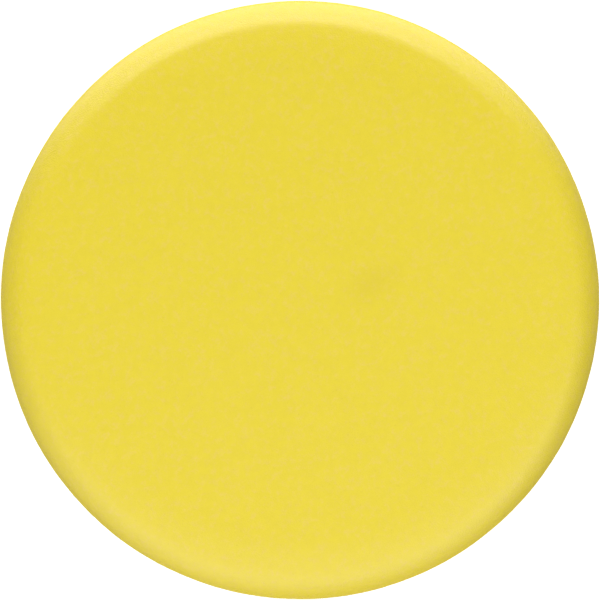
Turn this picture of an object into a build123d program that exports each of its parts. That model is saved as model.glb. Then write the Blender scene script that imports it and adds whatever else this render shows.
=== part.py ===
from build123d import *

import math
import os

# Foam polishing pad with a hook-and-loop back.
#
# A disc of yellow polyurethane foam with a rounded shoulder is bonded by a film of hot-melt adhesive
# to a round of loop fabric. The fabric is a knitted ground that carries a pile of small loops, and
# the pile holds on to the hooks of a polisher's backing plate.
#
# The frame has +Z along the pad's spin axis, towards the working face. The origin is at the centre
# of the loop face, so the pad lies on its loops and its working face looks up. Units are millimetres.

# Driving dimensions
PAD_DIAMETER = 150.0
FOAM_THICKNESS = 25.0
PILE_HEIGHT = 1.9
GROUND_THICKNESS = 0.8
FILM_THICKNESS = 0.3
FABRIC_DIAMETER = 146.0  # a little smaller than the foam, so that only foam can reach the paint
FILM_DIAMETER = 146.6  # the melted film creeps out past the fabric

# The shoulder is a gentle roll off the flat face, which runs into a tight round.
ROLL_RADIUS = 60.0
ROLL_ANGLE = 8.0  # degrees
SHOULDER_RADIUS = 8.0
BACK_EDGE_RADIUS = 1.2

PILE_INSET = 0.4  # the outermost loops lean in from the cut edge of the ground
PILE_EDGE_RADIUS = 0.7
GROUND_EDGE_RADIUS = 0.2

# In use the working face sinks into the foam. The foam is one piece, held here as a face that moves
# and a core that is squeezed. At full travel the face still clears the film by CORE_CLEARANCE.
PRESS_TRAVEL = 10.0
CORE_CLEARANCE = 2.0

# Heights of the layers, from the loop face up
GROUND_Z = PILE_HEIGHT
FILM_Z = GROUND_Z + GROUND_THICKNESS
FOAM_Z = FILM_Z + FILM_THICKNESS
SPLIT_Z = FOAM_Z + PRESS_TRAVEL + CORE_CLEARANCE
FACE_Z = FOAM_Z + FOAM_THICKNESS

# Where the arcs of the foam's section meet, measured from the spin axis
PAD_RADIUS = PAD_DIAMETER / 2
ROLL_TURN = math.radians(ROLL_ANGLE)
ROLL_END_X = PAD_RADIUS - SHOULDER_RADIUS * (1 - math.sin(ROLL_TURN))
ROLL_END_Z = FACE_Z - ROLL_RADIUS * (1 - math.cos(ROLL_TURN))
ROLL_START_X = ROLL_END_X - ROLL_RADIUS * math.sin(ROLL_TURN)
SHOULDER_Z = ROLL_END_Z - SHOULDER_RADIUS * math.cos(ROLL_TURN)

# Loop pile: the space that the standing loops fill together, rounded where it meets the hooks
with BuildPart() as loop_pile:
    with BuildSketch():
        Circle(FABRIC_DIAMETER / 2 - PILE_INSET)
    extrude(amount=PILE_HEIGHT)
    fillet(loop_pile.edges().group_by(Axis.Z)[0], radius=PILE_EDGE_RADIUS)

# Loop ground: the knitted layer that the loops stand on, with its back coat
with BuildPart() as loop_ground:
    with BuildSketch(Plane.XY.offset(GROUND_Z)):
        Circle(FABRIC_DIAMETER / 2)
    extrude(amount=GROUND_THICKNESS)
    fillet(loop_ground.edges().group_by(Axis.Z)[0], radius=GROUND_EDGE_RADIUS)

# Bond film: the hot-melt adhesive between the fabric and the foam
with BuildPart() as bond_film:
    with BuildSketch(Plane.XY.offset(FILM_Z)):
        Circle(FILM_DIAMETER / 2)
    extrude(amount=FILM_THICKNESS)

# Foam: the whole disc, revolved from half of its section
with BuildPart() as foam:
    with BuildSketch(Plane.XZ):
        with BuildLine():
            Line((0, FOAM_Z), (0, FACE_Z))
            Line((0, FACE_Z), (ROLL_START_X, FACE_Z))
            roll = TangentArc((ROLL_START_X, FACE_Z), (ROLL_END_X, ROLL_END_Z), tangent=(1, 0))
            TangentArc((ROLL_END_X, ROLL_END_Z), (PAD_RADIUS, SHOULDER_Z), tangent=roll % 1)
            Line((PAD_RADIUS, SHOULDER_Z), (PAD_RADIUS, FOAM_Z))
            Line((PAD_RADIUS, FOAM_Z), (0, FOAM_Z))
        make_face()
    revolve(axis=Axis.Z)
    fillet(foam.edges().group_by(Axis.Z)[0], radius=BACK_EDGE_RADIUS)

# Foam core: the foam that is squeezed when the face is pressed
with BuildPart() as foam_core:
    add(foam.part)
    split(bisect_by=Plane.XY.offset(SPLIT_Z), keep=Keep.BOTTOM)

# Foam face: the working face, its shoulder and the upper side wall
with BuildPart() as foam_face:
    add(foam.part)
    split(bisect_by=Plane.XY.offset(SPLIT_Z), keep=Keep.TOP)

loop_pile.part.label = "loop_pile"
loop_ground.part.label = "loop_ground"
bond_film.part.label = "bond_film"
foam_core.part.label = "foam_core"
foam_face.part.label = "foam_face"

os.makedirs("parts", exist_ok=True)
for piece in (loop_pile, loop_ground, bond_film, foam_core, foam_face):
    export_step(piece.part, f"parts/{piece.part.label}.step")
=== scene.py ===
"""Looks of the foam polishing pad: foam, hot-melt film, loop fabric, studio and camera.

Everything is in metres, in the CAD model's frame: +Z is the spin axis, towards the working face,
and the loop face is at Z = 0. Colours are linear red, green and blue.
"""

import math
import random

import bpy
from mathutils import Matrix, Vector, noise


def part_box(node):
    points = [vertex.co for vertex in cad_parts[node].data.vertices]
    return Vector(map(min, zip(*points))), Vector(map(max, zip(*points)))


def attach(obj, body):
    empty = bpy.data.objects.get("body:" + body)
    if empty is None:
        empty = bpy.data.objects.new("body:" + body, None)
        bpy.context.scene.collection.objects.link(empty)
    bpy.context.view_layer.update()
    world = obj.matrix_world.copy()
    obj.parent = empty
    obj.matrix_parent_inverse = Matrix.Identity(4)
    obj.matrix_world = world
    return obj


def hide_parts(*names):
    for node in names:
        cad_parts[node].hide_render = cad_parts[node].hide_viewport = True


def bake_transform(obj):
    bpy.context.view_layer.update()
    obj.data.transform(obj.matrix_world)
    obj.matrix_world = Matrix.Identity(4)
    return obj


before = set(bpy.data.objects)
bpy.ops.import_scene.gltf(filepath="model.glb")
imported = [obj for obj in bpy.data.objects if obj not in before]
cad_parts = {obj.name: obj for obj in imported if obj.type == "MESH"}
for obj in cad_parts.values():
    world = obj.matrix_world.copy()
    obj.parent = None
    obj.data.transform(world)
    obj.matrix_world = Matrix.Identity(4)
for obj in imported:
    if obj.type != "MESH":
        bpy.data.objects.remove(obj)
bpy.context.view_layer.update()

MM = 0.001
random.seed(7)

# Heights and radii come from the CAD nodes
FACE_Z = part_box("foam_face")[1].z
FOAM_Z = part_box("foam_core")[0].z
FILM_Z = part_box("bond_film")[0].z
GROUND_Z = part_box("loop_ground")[0].z
PAD_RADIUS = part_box("foam_face")[1].x
FILM_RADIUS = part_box("bond_film")[1].x
GROUND_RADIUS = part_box("loop_ground")[1].x
PILE_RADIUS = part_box("loop_pile")[1].x

# The foam's section, as the CAD model has it
ROLL_RADIUS = 60 * MM
ROLL_TURN = math.radians(8)
SHOULDER_RADIUS = 8 * MM
BACK_EDGE_RADIUS = 1.2 * MM


# ---- Mesh helpers ----------------------------------------------------------------------------

RIM_RINGS = 5  # rings round the half circle of a layer's rim
HIDDEN_RINGS = (0.5, 0.9)  # rings on a layer's top, which is hidden, as shares of its radius
FEWEST_SIDES = 6


def mesh_object(name, points, faces):
    """A smooth-shaded object made from points and faces."""
    mesh = bpy.data.meshes.new(name)
    mesh.from_pydata(points, [], faces)
    mesh.validate()
    mesh.shade_smooth()
    piece = bpy.data.objects.new(name, mesh)
    bpy.context.scene.collection.objects.link(piece)
    return piece


def stitch(inner, outer):
    """Triangles for the band between two closed rings of vertex numbers, which may differ in count."""
    faces = []
    i = j = 0
    while i < len(inner) or j < len(outer):
        here, there = inner[i % len(inner)], outer[j % len(outer)]
        if (j + 1) / len(outer) <= (i + 1) / len(inner):
            j += 1
            faces.append((here, there, outer[j % len(outer)]))
        else:
            i += 1
            faces.append((here, there, inner[i % len(inner)]))
    return faces


def walk(runs, start_z, distance):
    """Where a section is after that distance from the axis: x, z and its heading below level.

    A run is (length, radius), and a radius of None is straight.
    """
    x, z, heading = 0.0, start_z, 0.0
    for length, radius in runs:
        step = min(distance, length)
        turn = step / radius if radius else 0.0
        if radius:
            x += radius * (math.sin(heading + turn) - math.sin(heading))
            z -= radius * (math.cos(heading) - math.cos(heading + turn))
        else:
            x += step * math.cos(heading)
            z -= step * math.sin(heading)
        heading += turn
        distance -= step
    return x, z, heading


def turned(runs, start_z, distances, edge, relief):
    """Points and faces of a closed round form: rings at those distances along its section.

    relief(point, outward) gives how far a vertex stands proud of the section.
    """
    points = [Vector((0, 0, start_z))]
    rings = [[0]]
    for distance in distances:
        x, z, heading = walk(runs, start_z, distance)
        count = max(FEWEST_SIDES, round(math.tau * x / edge))
        rings.append(range(len(points), len(points) + count))
        for k in range(count):
            angle = math.tau * k / count
            out = Vector((math.cos(angle), math.sin(angle), 0)) * math.sin(heading)
            out.z = math.cos(heading)
            point = Vector((x * math.cos(angle), x * math.sin(angle), z))
            points.append(point + out * relief(point, out))
    faces = [face for a, b in zip(rings, rings[1:]) for face in stitch(a, b)]
    faces.append(tuple(reversed(rings[-1])))
    return points, faces


def spaced(length, step):
    """Distances from one step to length, evenly spaced."""
    count = max(1, round(length / step))
    return [length * (k + 1) / count for k in range(count)]


def layer(radius, top_z, depth, edge, back_step, relief):
    """Points and faces of a round layer with a rounded rim.

    Vertices are edge apart along each ring, and the back's rings are back_step apart.
    """
    half = depth / 2
    rim = half * math.pi
    rim_start = radius - half
    back = radius - 2 * edge
    runs = [(rim_start, None), (rim, half), (back, None)]
    distances = [radius * part for part in HIDDEN_RINGS] + [rim_start - edge, rim_start]
    distances += [rim_start + step for step in spaced(rim, rim / RIM_RINGS)]
    distances += [rim_start + rim + step for step in spaced(back, back_step)]
    return turned(runs, top_z, distances, edge, relief)


def share(value):
    """value kept between 0 and 1."""
    return max(0.0, min(1.0, value))


def layered_noise(point, size, finer):
    """Noise with features about size across, and half as much of it, that many times finer, on top."""
    return noise.noise(point / size) + 0.5 * noise.noise(point * finer / size)


# ---- Shader helpers --------------------------------------------------------------------------

RIBS_TO_A_UNIT = 10 / math.pi  # in a wave texture of scale 1
RIB_WAVINESS = 1.2
PIT_FLOOR = 0.4  # how much of a pit's reach is its flat floor


class Shader:
    """A material's node tree, with short calls for the nodes that this scene uses."""

    def __init__(self, name):
        self.material = bpy.data.materials.new(name)
        self.material.use_nodes = True
        self.nodes = self.material.node_tree.nodes
        self.links = self.material.node_tree.links
        self.surface = self.nodes["Principled BSDF"]
        self.place = self.nodes.new("ShaderNodeTexCoord").outputs["Object"]

    def link(self, source, node, socket):
        self.links.new(source, node.inputs[socket])

    def noise(self, size, detail=2.0, rough=0.5):
        """Noise from 0 to 1, mostly near 0.5, with features about size across."""
        node = self.nodes.new("ShaderNodeTexNoise")
        node.inputs["Scale"].default_value = 1 / size
        node.inputs["Detail"].default_value = detail
        node.inputs["Roughness"].default_value = rough
        self.link(self.place, node, "Vector")
        return node.outputs["Fac"]

    def patches(self, size, detail=3.0, rough=0.5, low=0.35, high=0.65):
        """Noise with its contrast raised: 0 where it is under low and 1 over high."""
        return self.spread(self.noise(size, detail, rough), low, high)

    def cells(self, size):
        """Cells about size across: 0 at each cell's middle, rising towards its neighbours."""
        node = self.nodes.new("ShaderNodeTexVoronoi")
        node.inputs["Scale"].default_value = 1 / size
        self.link(self.place, node, "Vector")
        return node.outputs["Distance"]

    def pits(self, cells, reach):
        """1 in the middle of each cell, falling to 0 at reach, which is a share of the cell's size."""
        return self.spread(cells, reach * PIT_FLOOR, reach, 1.0, 0.0)

    def ribs(self, axis, spacing):
        """Soft, slightly wavy ribs across that axis, from 0 to 1."""
        node = self.nodes.new("ShaderNodeTexWave")
        node.bands_direction = axis
        node.inputs["Scale"].default_value = 1 / (RIBS_TO_A_UNIT * spacing)
        node.inputs["Distortion"].default_value = RIB_WAVINESS
        self.link(self.place, node, "Vector")
        return node.outputs["Fac"]

    def upward(self, source):
        """The Z part of a place or a direction."""
        node = self.nodes.new("ShaderNodeSeparateXYZ")
        self.link(source, node, "Vector")
        return node.outputs["Z"]

    def height(self):
        """How high the point lies in the pad."""
        return self.upward(self.place)

    def facing_up(self):
        """1 on the working face, 0 on the side wall."""
        return self.upward(self.nodes["Texture Coordinate"].outputs["Normal"])

    def grazing(self):
        """0 where the surface is seen square on, 1 where it is seen edge on."""
        return self.nodes.new("ShaderNodeLayerWeight").outputs["Facing"]

    def spread(self, value, low, high, to_low=0.0, to_high=1.0, smooth=True):
        """value mapped from low..high to to_low..to_high and clamped."""
        node = self.nodes.new("ShaderNodeMapRange")
        node.interpolation_type = "SMOOTHSTEP" if smooth else "LINEAR"
        node.inputs["From Min"].default_value = low
        node.inputs["From Max"].default_value = high
        node.inputs["To Min"].default_value = to_low
        node.inputs["To Max"].default_value = to_high
        self.link(value, node, "Value")
        return node.outputs["Result"]

    def blend(self, amount, at_none, at_full):
        """A number that is at_none where amount is 0 and at_full where it is 1."""
        return self.spread(amount, 0.0, 1.0, at_none, at_full, smooth=False)

    def math(self, operation, a, b):
        """Two numbers or sockets put together by that operation."""
        node = self.nodes.new("ShaderNodeMath")
        node.operation = operation
        for socket, value in enumerate((a, b)):
            if isinstance(value, (int, float)):
                node.inputs[socket].default_value = value
            else:
                self.link(value, node, socket)
        return node.outputs["Value"]

    def mix(self, amount, a, b):
        """Colour a where amount is 0 and b where it is 1."""
        node = self.nodes.new("ShaderNodeMix")
        node.data_type = "RGBA"
        self.link(amount, node, "Factor")
        for socket, colour in (("A", a), ("B", b)):
            target = next(s for s in node.inputs if s.name == socket and s.type == "RGBA")
            if isinstance(colour, tuple):
                target.default_value = (*colour, 1.0)
            else:
                self.links.new(colour, target)
        return next(s for s in node.outputs if s.type == "RGBA")

    def lay(self, colour, mask, strength, other):
        """colour with other laid over it: where mask is 1, to that strength."""
        return self.mix(self.math("MULTIPLY", mask, strength), colour, other)

    def near(self, centre, reach, turn):
        """1 at centre, falling smoothly to 0 at the edge of an oval turned about Z."""
        node = self.nodes.new("ShaderNodeMapping")
        node.vector_type = "TEXTURE"
        node.inputs["Location"].default_value = centre
        node.inputs["Rotation"].default_value = (0, 0, turn)
        node.inputs["Scale"].default_value = reach
        self.link(self.place, node, "Vector")
        length = self.nodes.new("ShaderNodeVectorMath")
        length.operation = "LENGTH"
        self.link(node.outputs["Vector"], length, 0)
        return self.spread(length.outputs["Value"], 0.0, 1.0, 1.0, 0.0)

    def bump(self, height, depth, strength, below=None):
        """A bump of that depth, on top of another one if below is given."""
        node = self.nodes.new("ShaderNodeBump")
        node.inputs["Distance"].default_value = depth
        if isinstance(strength, float):
            node.inputs["Strength"].default_value = strength
        else:
            self.link(strength, node, "Strength")
        self.link(height, node, "Height")
        if below:
            self.link(below, node, "Normal")
        return node.outputs["Normal"]

    def finish(self, colour, roughness, normal, **constants):
        """Joins the three maps to the surface, and sets its other sockets by name."""
        self.link(colour, self.surface, "Base Color")
        self.link(roughness, self.surface, "Roughness")
        self.link(normal, self.surface, "Normal")
        for name, value in constants.items():
            self.surface.inputs[name.replace("_", " ")].default_value = value
        return self.material


# ---- Camera ----------------------------------------------------------------------------------

CAMERA_HEIGHT = 1.6
SENSOR_WIDTH = 36.0  # in millimetres, as Blender takes it
PAD_SHARE_OF_FRAME = 0.9975
WIDEST_Z = FACE_Z - SHOULDER_RADIUS


def make_camera():
    """Straight above the working face, with +Y up in the frame."""
    frame_width = 2 * PAD_RADIUS / PAD_SHARE_OF_FRAME
    data = bpy.data.cameras.new("camera")
    data.sensor_width = SENSOR_WIDTH
    data.lens = SENSOR_WIDTH * (CAMERA_HEIGHT - WIDEST_Z) / frame_width
    camera = bpy.data.objects.new("camera", data)
    camera.location = (0, 0, CAMERA_HEIGHT)
    bpy.context.scene.collection.objects.link(camera)
    bpy.context.scene.camera = camera


make_camera()


# ---- Foam ------------------------------------------------------------------------------------

FOAM_EDGE = 0.56 * MM
FOAM_BACK = 3 * MM  # how far the mesh runs in under the foam, where the film hides it

# Relief in the mesh
WAVE_SIZE, WAVE_DEPTH = 24 * MM, 0.10 * MM
LUMP_SIZE, LUMP_DEPTH = 4.5 * MM, 0.025 * MM
GRAIN_SIZE, GRAIN_DEPTH = 1.3 * MM, 0.015 * MM
CUT_GRAIN_DEPTH = 0.04 * MM  # the side wall is cut, and its cells stand open

# A faint oval dent, a little right of the middle
DENT_PLACE = Vector((18 * MM, 4.3 * MM, FACE_Z))
DENT_REACH = Vector((12 * MM, 6.5 * MM, 5 * MM))
DENT_TURN = math.radians(32)
DENT_DEPTH = 0.10 * MM

# Cells, and the odd larger bubble. A reach is how much of a cell is pit, as a share of its size
CELL_SIZE, CELL_REACH, CELL_DEPTH = 0.27 * MM, 0.5, 0.10 * MM
CUT_CELL_SIZE, CUT_CELL_REACH, CUT_CELL_DEPTH = 0.7 * MM, 0.55, 0.25 * MM
BUBBLE_SIZE, BUBBLE_REACH, BUBBLE_DEPTH = 1.9 * MM, 0.16, 0.20 * MM
SOFT_SIZE, SOFT_DEPTH, SOFT_STRENGTH = 2.0 * MM, 0.05 * MM, 0.3
GRIT_SIZE, GRIT_DEPTH, GRIT_STRENGTH = 0.35 * MM, 0.03 * MM, 0.25

# How strongly the cells stand out as bumps, on the flat face and on the shoulder, which is stretched
CELLS_ON_FACE, CELLS_ON_SHOULDER = 0.25, 0.75

# How strongly the others do, on the face and on the cut wall
CUT_CELL_BUMP = (0.0, 0.5)
BUBBLE_BUMP = (0.05, 0.8)

# Colours, the size of their patches, and how strongly each shows. A pair is for the face and the wall
FOAM_GREENER = (0.755, 0.602, 0.000)
FOAM_WARMER = (0.768, 0.582, 0.060)
FOAM_PALE = (0.775, 0.612, 0.006)
# The deep yellow is the foam's own darker mottle and dent colour, and also the painted shade inside its
# cells and bubbles.
FOAM_DEEP_AND_PIT_SHADE = (0.560, 0.400, 0.004)
HUE_SIZE = 1.3 * MM
PALE_SIZE, PALE_SHOWS = 9 * MM, 0.25
MOTTLE_SIZE, MOTTLE_SHOWS = 2.2 * MM, 0.05
# Painted shade: how strongly the pits of the cells and bubbles are darkened, on the face and on the cut
# wall.
PIT_SHADE_SHOWS = (0.12, 0.35)
CUT_PIT_SHADE_SHOWS = (0.0, 0.35)
BUBBLE_SHADE_SHOWS = (0.12, 0.75)
DENT_SHOWS = 0.16

FOAM_SATIN = (0.33, 0.46)
CUT_ROUGHER = 0.15
GRAZE_ROUGHER = 0.5  # the struts scatter light that skims the face


def dent_share(point):
    """1 in the middle of the dent, falling smoothly to 0 at its edge."""
    place = Matrix.Rotation(-DENT_TURN, 3, "Z") @ (point - DENT_PLACE)
    near = share(1 - Vector(a / b for a, b in zip(place, DENT_REACH)).length)
    return near * near * (3 - 2 * near)


def foam_relief(point, out):
    """Slow waves, soft lumps and fine grain, coarser on the cut wall, and one shallow dent."""
    wave = WAVE_DEPTH * noise.noise(point / WAVE_SIZE)
    lump = LUMP_DEPTH * noise.noise(point / LUMP_SIZE)
    wall = 1 - share(out.z * 2)
    grain_depth = GRAIN_DEPTH + (CUT_GRAIN_DEPTH - GRAIN_DEPTH) * wall
    grain = grain_depth * noise.noise(point / GRAIN_SIZE)
    return wave + lump + grain - DENT_DEPTH * dent_share(point)


def foam_runs():
    """The section from the centre of the face, over the shoulder and down the wall to the back."""
    roll_end_x = PAD_RADIUS - SHOULDER_RADIUS * (1 - math.sin(ROLL_TURN))
    flat = roll_end_x - ROLL_RADIUS * math.sin(ROLL_TURN)
    roll_drop = ROLL_RADIUS * (1 - math.cos(ROLL_TURN))
    shoulder_drop = SHOULDER_RADIUS * math.cos(ROLL_TURN)
    wall = FACE_Z - FOAM_Z - roll_drop - shoulder_drop - BACK_EDGE_RADIUS
    return [
        (flat, None),
        (ROLL_RADIUS * ROLL_TURN, ROLL_RADIUS),
        (SHOULDER_RADIUS * (math.pi / 2 - ROLL_TURN), SHOULDER_RADIUS),
        (wall, None),
        (BACK_EDGE_RADIUS * math.pi / 2, BACK_EDGE_RADIUS),
        (FOAM_BACK, None),
    ]


def foam_colour(s, wall, pits, cut_pits, bubbles):
    """Yellow that drifts between two hues, with painted shade darkening the inside of the cells and
    bubbles, and darker over the dent.
    """
    hue = s.patches(HUE_SIZE, rough=0.65, low=0.45, high=0.74)
    dent = s.near(DENT_PLACE, DENT_REACH, DENT_TURN)
    colour = s.mix(hue, FOAM_GREENER, FOAM_WARMER)
    colour = s.lay(colour, s.patches(PALE_SIZE), PALE_SHOWS, FOAM_PALE)
    colour = s.lay(colour, s.patches(MOTTLE_SIZE, detail=1), MOTTLE_SHOWS, FOAM_DEEP_AND_PIT_SHADE)
    # Painted shade inside the cells and bubbles, stronger on the cut wall.
    colour = s.lay(colour, pits, s.blend(wall, *PIT_SHADE_SHOWS), FOAM_DEEP_AND_PIT_SHADE)
    colour = s.lay(colour, cut_pits, s.blend(wall, *CUT_PIT_SHADE_SHOWS), FOAM_DEEP_AND_PIT_SHADE)
    colour = s.lay(colour, bubbles, s.blend(wall, *BUBBLE_SHADE_SHOWS), FOAM_DEEP_AND_PIT_SHADE)
    return s.lay(colour, dent, DENT_SHOWS, FOAM_DEEP_AND_PIT_SHADE)


def foam_material():
    """Fine-celled yellow foam: satin struts over cells with painted shade in them, which stand open on
    the cut wall.
    """
    s = Shader("foam")
    upward = s.facing_up()
    wall = s.spread(upward, 0.1, 0.7, 1.0, 0.0)
    cells, cut_cells = s.cells(CELL_SIZE), s.cells(CUT_CELL_SIZE)
    pits, cut_pits = s.pits(cells, CELL_REACH), s.pits(cut_cells, CUT_CELL_REACH)
    bubbles = s.pits(s.cells(BUBBLE_SIZE), BUBBLE_REACH)
    grit = s.noise(GRIT_SIZE, detail=1)
    colour = foam_colour(s, wall, pits, cut_pits, bubbles)

    satin = s.spread(grit, 0.3, 0.7, *FOAM_SATIN)
    roughness = s.math("ADD", satin, s.math("MULTIPLY", wall, CUT_ROUGHER))
    roughness = s.math("ADD", roughness, s.spread(s.grazing(), 0.6, 0.9, 0.0, GRAZE_ROUGHER))

    cell_bump = s.spread(upward, 0.80, 0.985, CELLS_ON_SHOULDER, CELLS_ON_FACE)
    normal = s.bump(s.noise(SOFT_SIZE, detail=3), SOFT_DEPTH, SOFT_STRENGTH)
    normal = s.bump(cells, CELL_DEPTH, cell_bump, normal)
    normal = s.bump(cut_cells, CUT_CELL_DEPTH, s.blend(wall, *CUT_CELL_BUMP), normal)
    normal = s.bump(bubbles, -BUBBLE_DEPTH, s.blend(wall, *BUBBLE_BUMP), normal)
    normal = s.bump(grit, GRIT_DEPTH, GRIT_STRENGTH, normal)
    return s.finish(colour, roughness, normal, Specular_IOR_Level=1.0)


def make_foam():
    """One mesh for the whole disc, which is squeezed between the backing and the face."""
    runs = foam_runs()
    length = sum(run[0] for run in runs)
    shape = turned(runs, FACE_Z, spaced(length, FOAM_EDGE), FOAM_EDGE, foam_relief)
    foam = mesh_object("foam_disc", *shape)
    foam.data.materials.append(foam_material())
    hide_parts("foam_face", "foam_core")
    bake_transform(foam)


make_foam()


# ---- Hot-melt film ---------------------------------------------------------------------------

FILM_EDGE = 1.0 * MM
FILM_BACK_STEP = 20 * MM  # the fabric hides the film's back
BEAD_DEPTH = 0.35 * MM  # how far the squeezed-out bead comes and goes along the rim
BEAD_SIZE, BEAD_SHARE = 7 * MM, 0.6
BEAD_DETAIL_SIZE, BEAD_DETAIL_SHARE = 1.8 * MM, 0.4
CLOUD_SIZE = 3 * MM
FILM_BUBBLE_SIZE, FILM_BUBBLE_REACH, FILM_BUBBLE_SHOWS = 0.9 * MM, 0.3, 0.4
FILM_LUMP_SIZE, FILM_LUMP_DEPTH = 1.2 * MM, 0.08 * MM

FILM_DARK = (0.50, 0.36, 0.12)
FILM_LIGHT = (0.66, 0.53, 0.25)
FILM_BUBBLE = (0.80, 0.72, 0.50)
FILM_SATIN = (0.25, 0.45)


def film_relief(point, out):
    """The rim creeps in and out; the faces stay flat."""
    outward = share(1 - abs(out.z))
    slow = noise.noise(point / BEAD_SIZE)
    quick = noise.noise(point / BEAD_DETAIL_SIZE)
    return outward * BEAD_DEPTH * (BEAD_SHARE * slow + BEAD_DETAIL_SHARE * quick)


def film_material():
    """Honey-coloured hot melt, slightly cloudy, with small bubbles."""
    s = Shader("hot_melt")
    cloud = s.patches(CLOUD_SIZE)
    bubbles = s.pits(s.cells(FILM_BUBBLE_SIZE), FILM_BUBBLE_REACH)
    colour = s.mix(cloud, FILM_DARK, FILM_LIGHT)
    colour = s.lay(colour, bubbles, FILM_BUBBLE_SHOWS, FILM_BUBBLE)
    normal = s.bump(s.noise(FILM_LUMP_SIZE), FILM_LUMP_DEPTH, 0.5)
    return s.finish(colour, s.blend(cloud, *FILM_SATIN), normal, Specular_IOR_Level=0.5)


def make_film():
    """The film, whose rim shows between the foam and the fabric."""
    shape = layer(FILM_RADIUS, FOAM_Z, FOAM_Z - FILM_Z, FILM_EDGE, FILM_BACK_STEP, film_relief)
    film = mesh_object("hot_melt_film", *shape)
    film.data.materials.append(film_material())
    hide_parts("bond_film")
    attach(film, "backing")


make_film()


# ---- Loop fabric: ground ---------------------------------------------------------------------

GROUND_EDGE = 0.9 * MM
WALE_SPACING = 1.25 * MM  # columns of the knit, along Y
COURSE_SPACING = 1.05 * MM  # rows of the knit, along X
KNIT_DEPTH = 0.09 * MM
KNIT_BUMP_DEPTH = 0.20 * MM
RAGGED_SIZE, RAGGED_DEPTH = 2.2 * MM, 0.16 * MM
FIBRE_SIZE, FIBRE_DEPTH = 0.25 * MM, 0.06 * MM
STAIN_SIZE, STAIN_SHOWS = 12 * MM, 0.25

# Painted shade: the dark colour fills the hollows of the knit, where its ribs sink.
GROUND_KNIT_SHADE = (0.42, 0.41, 0.37)
GROUND_LIGHT = (0.66, 0.65, 0.60)
GROUND_STAIN = (0.62, 0.57, 0.44)
GROUND_MATT = (0.75, 0.95)


def ground_relief(point, out):
    """The knit's ribs on the back, and a cut edge that wanders a little."""
    rib = math.cos(math.tau * point.x / WALE_SPACING)
    under = share(-out.z)
    rim = share(1 - abs(out.z))
    ragged = layered_noise(point, RAGGED_SIZE, 3)
    return KNIT_DEPTH * under * rib + RAGGED_DEPTH * rim * ragged


def ground_material():
    """Knitted nylon ground, stiffened with a pale resin coat, with painted shade in the hollows of the
    knit.
    """
    s = Shader("loop_backing")
    knit = s.math("MULTIPLY", s.ribs("X", WALE_SPACING), s.ribs("Y", COURSE_SPACING))
    fibre = s.noise(FIBRE_SIZE, detail=3, rough=0.7)
    # Painted shade: darker where the knit sinks, from the same map as its bump.
    colour = s.mix(knit, GROUND_KNIT_SHADE, GROUND_LIGHT)
    colour = s.lay(colour, s.patches(STAIN_SIZE), STAIN_SHOWS, GROUND_STAIN)
    roughness = s.spread(fibre, 0.2, 0.8, *GROUND_MATT)
    normal = s.bump(knit, KNIT_BUMP_DEPTH, 0.7)
    normal = s.bump(fibre, FIBRE_DEPTH, 0.6, normal)
    return s.finish(colour, roughness, normal, Specular_IOR_Level=0.3, Sheen_Weight=0.2)


def make_ground():
    """The knitted layer, which is the sheet that the fabric is cut as."""
    depth = FILM_Z - GROUND_Z
    shape = layer(GROUND_RADIUS, FILM_Z, depth, GROUND_EDGE, GROUND_EDGE, ground_relief)
    ground = mesh_object("loop_fabric_ground", *shape)
    ground.data.materials.append(ground_material())
    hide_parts("loop_ground")
    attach(ground, "backing")
    return ground


# ---- Loop fabric: pile -----------------------------------------------------------------------

MAT_DEPTH = 1.2 * MM  # the combed yarn that the standing loops rise from
MAT_EDGE = 0.85 * MM
TUFT_SIZE, TUFT_DEPTH = 1.6 * MM, 0.5 * MM

YARN_RADIUS = 0.12 * MM
YARN_SIDES = 3
LOOP_TURN = math.radians(130)  # each way from the top of the loop, round its eye
LOOP_POINTS = 5
LOOP_FOOT = 0.35  # how far each foot stands from the loop's middle, as a share of its half width
LOOP_HEIGHTS = (1.40 * MM, 1.76 * MM)
LOOP_WIDTHS = (1.0 * MM, 1.5 * MM)
LOOP_LEAN = 0.3
LOOP_SPACING = 2.45 * MM
LOOP_STRAY = 0.35  # how far a loop may stand from its place, as a share of the spacing
RIM_LOOP_SPACING = 1.05 * MM
RIM_LOOP_INSETS = (0.7 * MM, 1.6 * MM)

LUSTRE_SIZE = 6 * MM
FILAMENT_SIZE, FILAMENT_DEPTH = 0.12 * MM, 0.04 * MM
TWIST_SIZE, TWIST_DEPTH = 0.5 * MM, 0.20 * MM
# Painted shade: the yarn darkens towards the ground, where the pile would shade itself.
TIPS_Z, DEPTH_SHADE_Z = 0.4 * MM, 1.3 * MM  # the yarn darkens from the one to the other

YARN_COOL = (0.70, 0.69, 0.64)
YARN_WARM = (0.80, 0.79, 0.75)
YARN_SHADE = (0.56, 0.55, 0.50)
YARN_DEPTH_SHADE = (0.40, 0.39, 0.36)
SHADE_SHOWS, DEPTH_SHADE_SHOWS = 0.5, 0.45
YARN_LUSTRE = (0.45, 0.70)


def mat_relief(point, out):
    """Uneven tufts on the back and round the rim; the top lies flat against the ground."""
    return TUFT_DEPTH * layered_noise(point, TUFT_SIZE, 2) * share(1 - out.z)


def loop_path(foot, along, across, height, width):
    """A standing loop as a path: up from the ground, round the eye and back."""
    eye = width / 2
    foot_spread = along * eye * LOOP_FOOT
    middle = foot + across * (height - eye)
    path = [foot - foot_spread]
    for k in range(LOOP_POINTS):
        angle = LOOP_TURN * (2 * k / (LOOP_POINTS - 1) - 1)
        path.append(middle + along * eye * math.sin(angle) + across * eye * math.cos(angle))
    path.append(foot + foot_spread)
    return path


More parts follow.
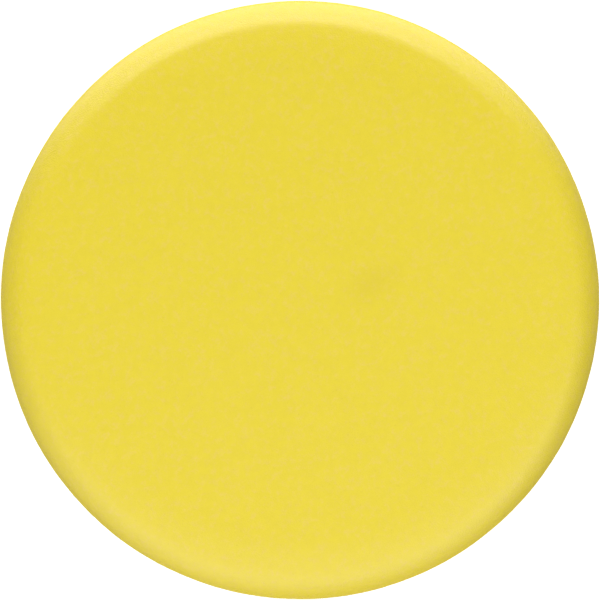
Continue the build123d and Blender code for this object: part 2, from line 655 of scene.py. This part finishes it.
def add_tube(path, radius, points, faces):
    """Adds an open-ended yarn along path to points and faces."""
    first = len(points)
    for k, point in enumerate(path):
        ahead = (path[min(k + 1, len(path) - 1)] - path[max(k - 1, 0)]).normalized()
        side = ahead.orthogonal().normalized()
        other = ahead.cross(side)
        for corner in range(YARN_SIDES):
            angle = math.tau * corner / YARN_SIDES
            points.append(point + radius * (side * math.cos(angle) + other * math.sin(angle)))
    for k in range(len(path) - 1):
        for corner in range(YARN_SIDES):
            a = first + k * YARN_SIDES + corner
            b = first + k * YARN_SIDES + (corner + 1) % YARN_SIDES
            faces.append((a, b, b + YARN_SIDES, a + YARN_SIDES))


def loop_places():
    """Where the loops stand: strewn over the back, and closer together along the rim."""
    rows = round(2 * PILE_RADIUS / LOOP_SPACING)
    for row in range(rows + 1):
        for column in range(rows + 1):
            x = (row - rows / 2 + random.uniform(-LOOP_STRAY, LOOP_STRAY)) * LOOP_SPACING
            y = (column - rows / 2 + random.uniform(-LOOP_STRAY, LOOP_STRAY)) * LOOP_SPACING
            if math.hypot(x, y) < PILE_RADIUS - max(RIM_LOOP_INSETS):
                yield x, y
    for inset in RIM_LOOP_INSETS:
        radius = PILE_RADIUS - inset
        count = round(math.tau * radius / RIM_LOOP_SPACING)
        for k in range(count):
            angle = math.tau * (k + random.uniform(-LOOP_STRAY, LOOP_STRAY)) / count
            yield radius * math.cos(angle), radius * math.sin(angle)


def yarn_material():
    """Off-white nylon yarn: fine filaments with a soft lustre, and painted shade darkening it towards
    the ground, deep in the pile.
    """
    s = Shader("loop_yarn")
    filament = s.noise(FILAMENT_SIZE, rough=0.6)
    depth_shade = s.spread(s.height(), TIPS_Z, DEPTH_SHADE_Z)
    colour = s.mix(s.patches(LUSTRE_SIZE), YARN_COOL, YARN_WARM)
    colour = s.lay(colour, s.spread(filament, 0.35, 0.75), SHADE_SHOWS, YARN_SHADE)
    # Painted shade, deepening towards the ground.
    colour = s.lay(colour, depth_shade, DEPTH_SHADE_SHOWS, YARN_DEPTH_SHADE)
    roughness = s.spread(filament, 0.3, 0.7, *YARN_LUSTRE)
    normal = s.bump(s.noise(TWIST_SIZE, detail=3, rough=0.7), TWIST_DEPTH, 0.5)
    normal = s.bump(filament, FILAMENT_DEPTH, 0.6, normal)
    return s.finish(colour, roughness, normal, Specular_IOR_Level=0.45, Sheen_Weight=0.3)


def make_pile():
    """The mat of combed yarn and the loops that stand out of it."""
    points, faces = layer(PILE_RADIUS, GROUND_Z, MAT_DEPTH, MAT_EDGE, MAT_EDGE, mat_relief)
    for x, y in loop_places():
        height = random.uniform(*LOOP_HEIGHTS)
        width = random.uniform(*LOOP_WIDTHS)
        turn = random.uniform(0, math.pi)
        lean = Vector((random.uniform(-LOOP_LEAN, LOOP_LEAN), random.uniform(-LOOP_LEAN, LOOP_LEAN), -1))
        along = Vector((math.cos(turn), math.sin(turn), 0))
        path = loop_path(Vector((x, y, GROUND_Z)), along, lean.normalized(), height, width)
        add_tube(path, YARN_RADIUS, points, faces)
    pile = mesh_object("loop_pile_yarn", points, faces)
    pile.data.materials.append(yarn_material())
    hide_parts("loop_pile")
    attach(pile, "backing")
    return pile


make_ground()
make_pile()


# ---- Studio ----------------------------------------------------------------------------------

STUDIO_RADIUS = 5.0
STUDIO_EDGE = 0.4
STUDIO_SIDES = 64
DOME_OVERLAP = 0.05  # how far the dome runs on below the floor, in radians
FLOOR_DROP = 0.05 * MM
FLOOR_COLOUR = (0.86, 0.86, 0.86)
STUDIO_ROUGHNESS = 0.9
GLOW_REACH = Vector((1.6, 1.6, 1.6))  # where the floor has become as white as the dome
GLOW_NEAR, GLOW_FAR = 0.50, 1.0
WORLD_LIGHT = 0.365

# Panels of soft light: name, place, width, height and power. The first makes the highlight along the
# far shoulder and the second carries it down to the rim. The third lights the near side of the face,
# and the fourth lifts the shade under the near left shoulder.
PANELS = (
    ("far_panel", (-0.07, 1.31, 0.72), 2.1, 1.4, 24.2),
    ("far_under_panel", (-0.06, 1.25, -0.66), 3.2, 1.4, 21.0),
    ("near_panel", (0.04, -0.50, 0.44), 1.8, 1.0, 6.9),
    ("near_left_under_panel", (-1.0, -0.9, -0.15), 2.0, 1.0, 2.6),
)


def add_to_studio(name, shape, colour, glow):
    """A part of the studio that is seen, but neither lights nor shades the pad."""
    piece = mesh_object(name, *shape)
    s = Shader(name)
    s.surface.inputs["Base Color"].default_value = (*colour, 1)
    s.surface.inputs["Roughness"].default_value = STUDIO_ROUGHNESS
    s.surface.inputs["Emission Color"].default_value = (1, 1, 1, 1)
    near_pad = s.near((0, 0, 0), GLOW_REACH, 0)
    s.link(s.spread(near_pad, 0.0, 1.0, GLOW_FAR, glow), s.surface, "Emission Strength")
    s.material.cycles.emission_sampling = "NONE"
    piece.data.materials.append(s.material)
    piece.visible_glossy = False
    piece.visible_diffuse = False
    piece.visible_shadow = False


def make_studio():
    """A pale floor that glows a little, like a light table, under a white dome."""
    angles = [math.tau * k / STUDIO_SIDES for k in range(STUDIO_SIDES)]
    rim = [(STUDIO_RADIUS * math.cos(a), STUDIO_RADIUS * math.sin(a), -FLOOR_DROP) for a in angles]
    add_to_studio("floor", (rim, [tuple(range(STUDIO_SIDES))]), FLOOR_COLOUR, GLOW_NEAR)
    length = STUDIO_RADIUS * (math.pi / 2 + DOME_OVERLAP)
    runs = [(length, STUDIO_RADIUS)]
    dome = turned(runs, STUDIO_RADIUS, spaced(length, STUDIO_EDGE), STUDIO_EDGE, lambda *_: 0.0)
    add_to_studio("backdrop", dome, (0, 0, 0), GLOW_FAR)


def add_panel(name, place, width, height, power):
    """A large panel of light that faces the pad, unseen by the camera."""
    data = bpy.data.lights.new(name, "AREA")
    data.shape = "RECTANGLE"
    data.size, data.size_y = width, height
    data.energy = power
    aim = Vector((0, 0, FACE_Z)) - Vector(place)
    light = bpy.data.objects.new(name, data)
    light.location = place
    light.rotation_mode = "QUATERNION"
    light.rotation_quaternion = aim.to_track_quat("-Z", "Y")
    light.visible_camera = False
    bpy.context.scene.collection.objects.link(light)


def make_lights():
    """White light from all round, and the panels."""
    world = bpy.data.worlds.new("world")
    world.use_nodes = True
    background = world.node_tree.nodes["Background"]
    background.inputs["Color"].default_value = (1, 1, 1, 1)
    background.inputs["Strength"].default_value = WORLD_LIGHT
    bpy.context.scene.world = world
    bpy.context.scene.view_settings.view_transform = "Standard"
    for panel in PANELS:
        add_panel(*panel)


make_studio()
make_lights()
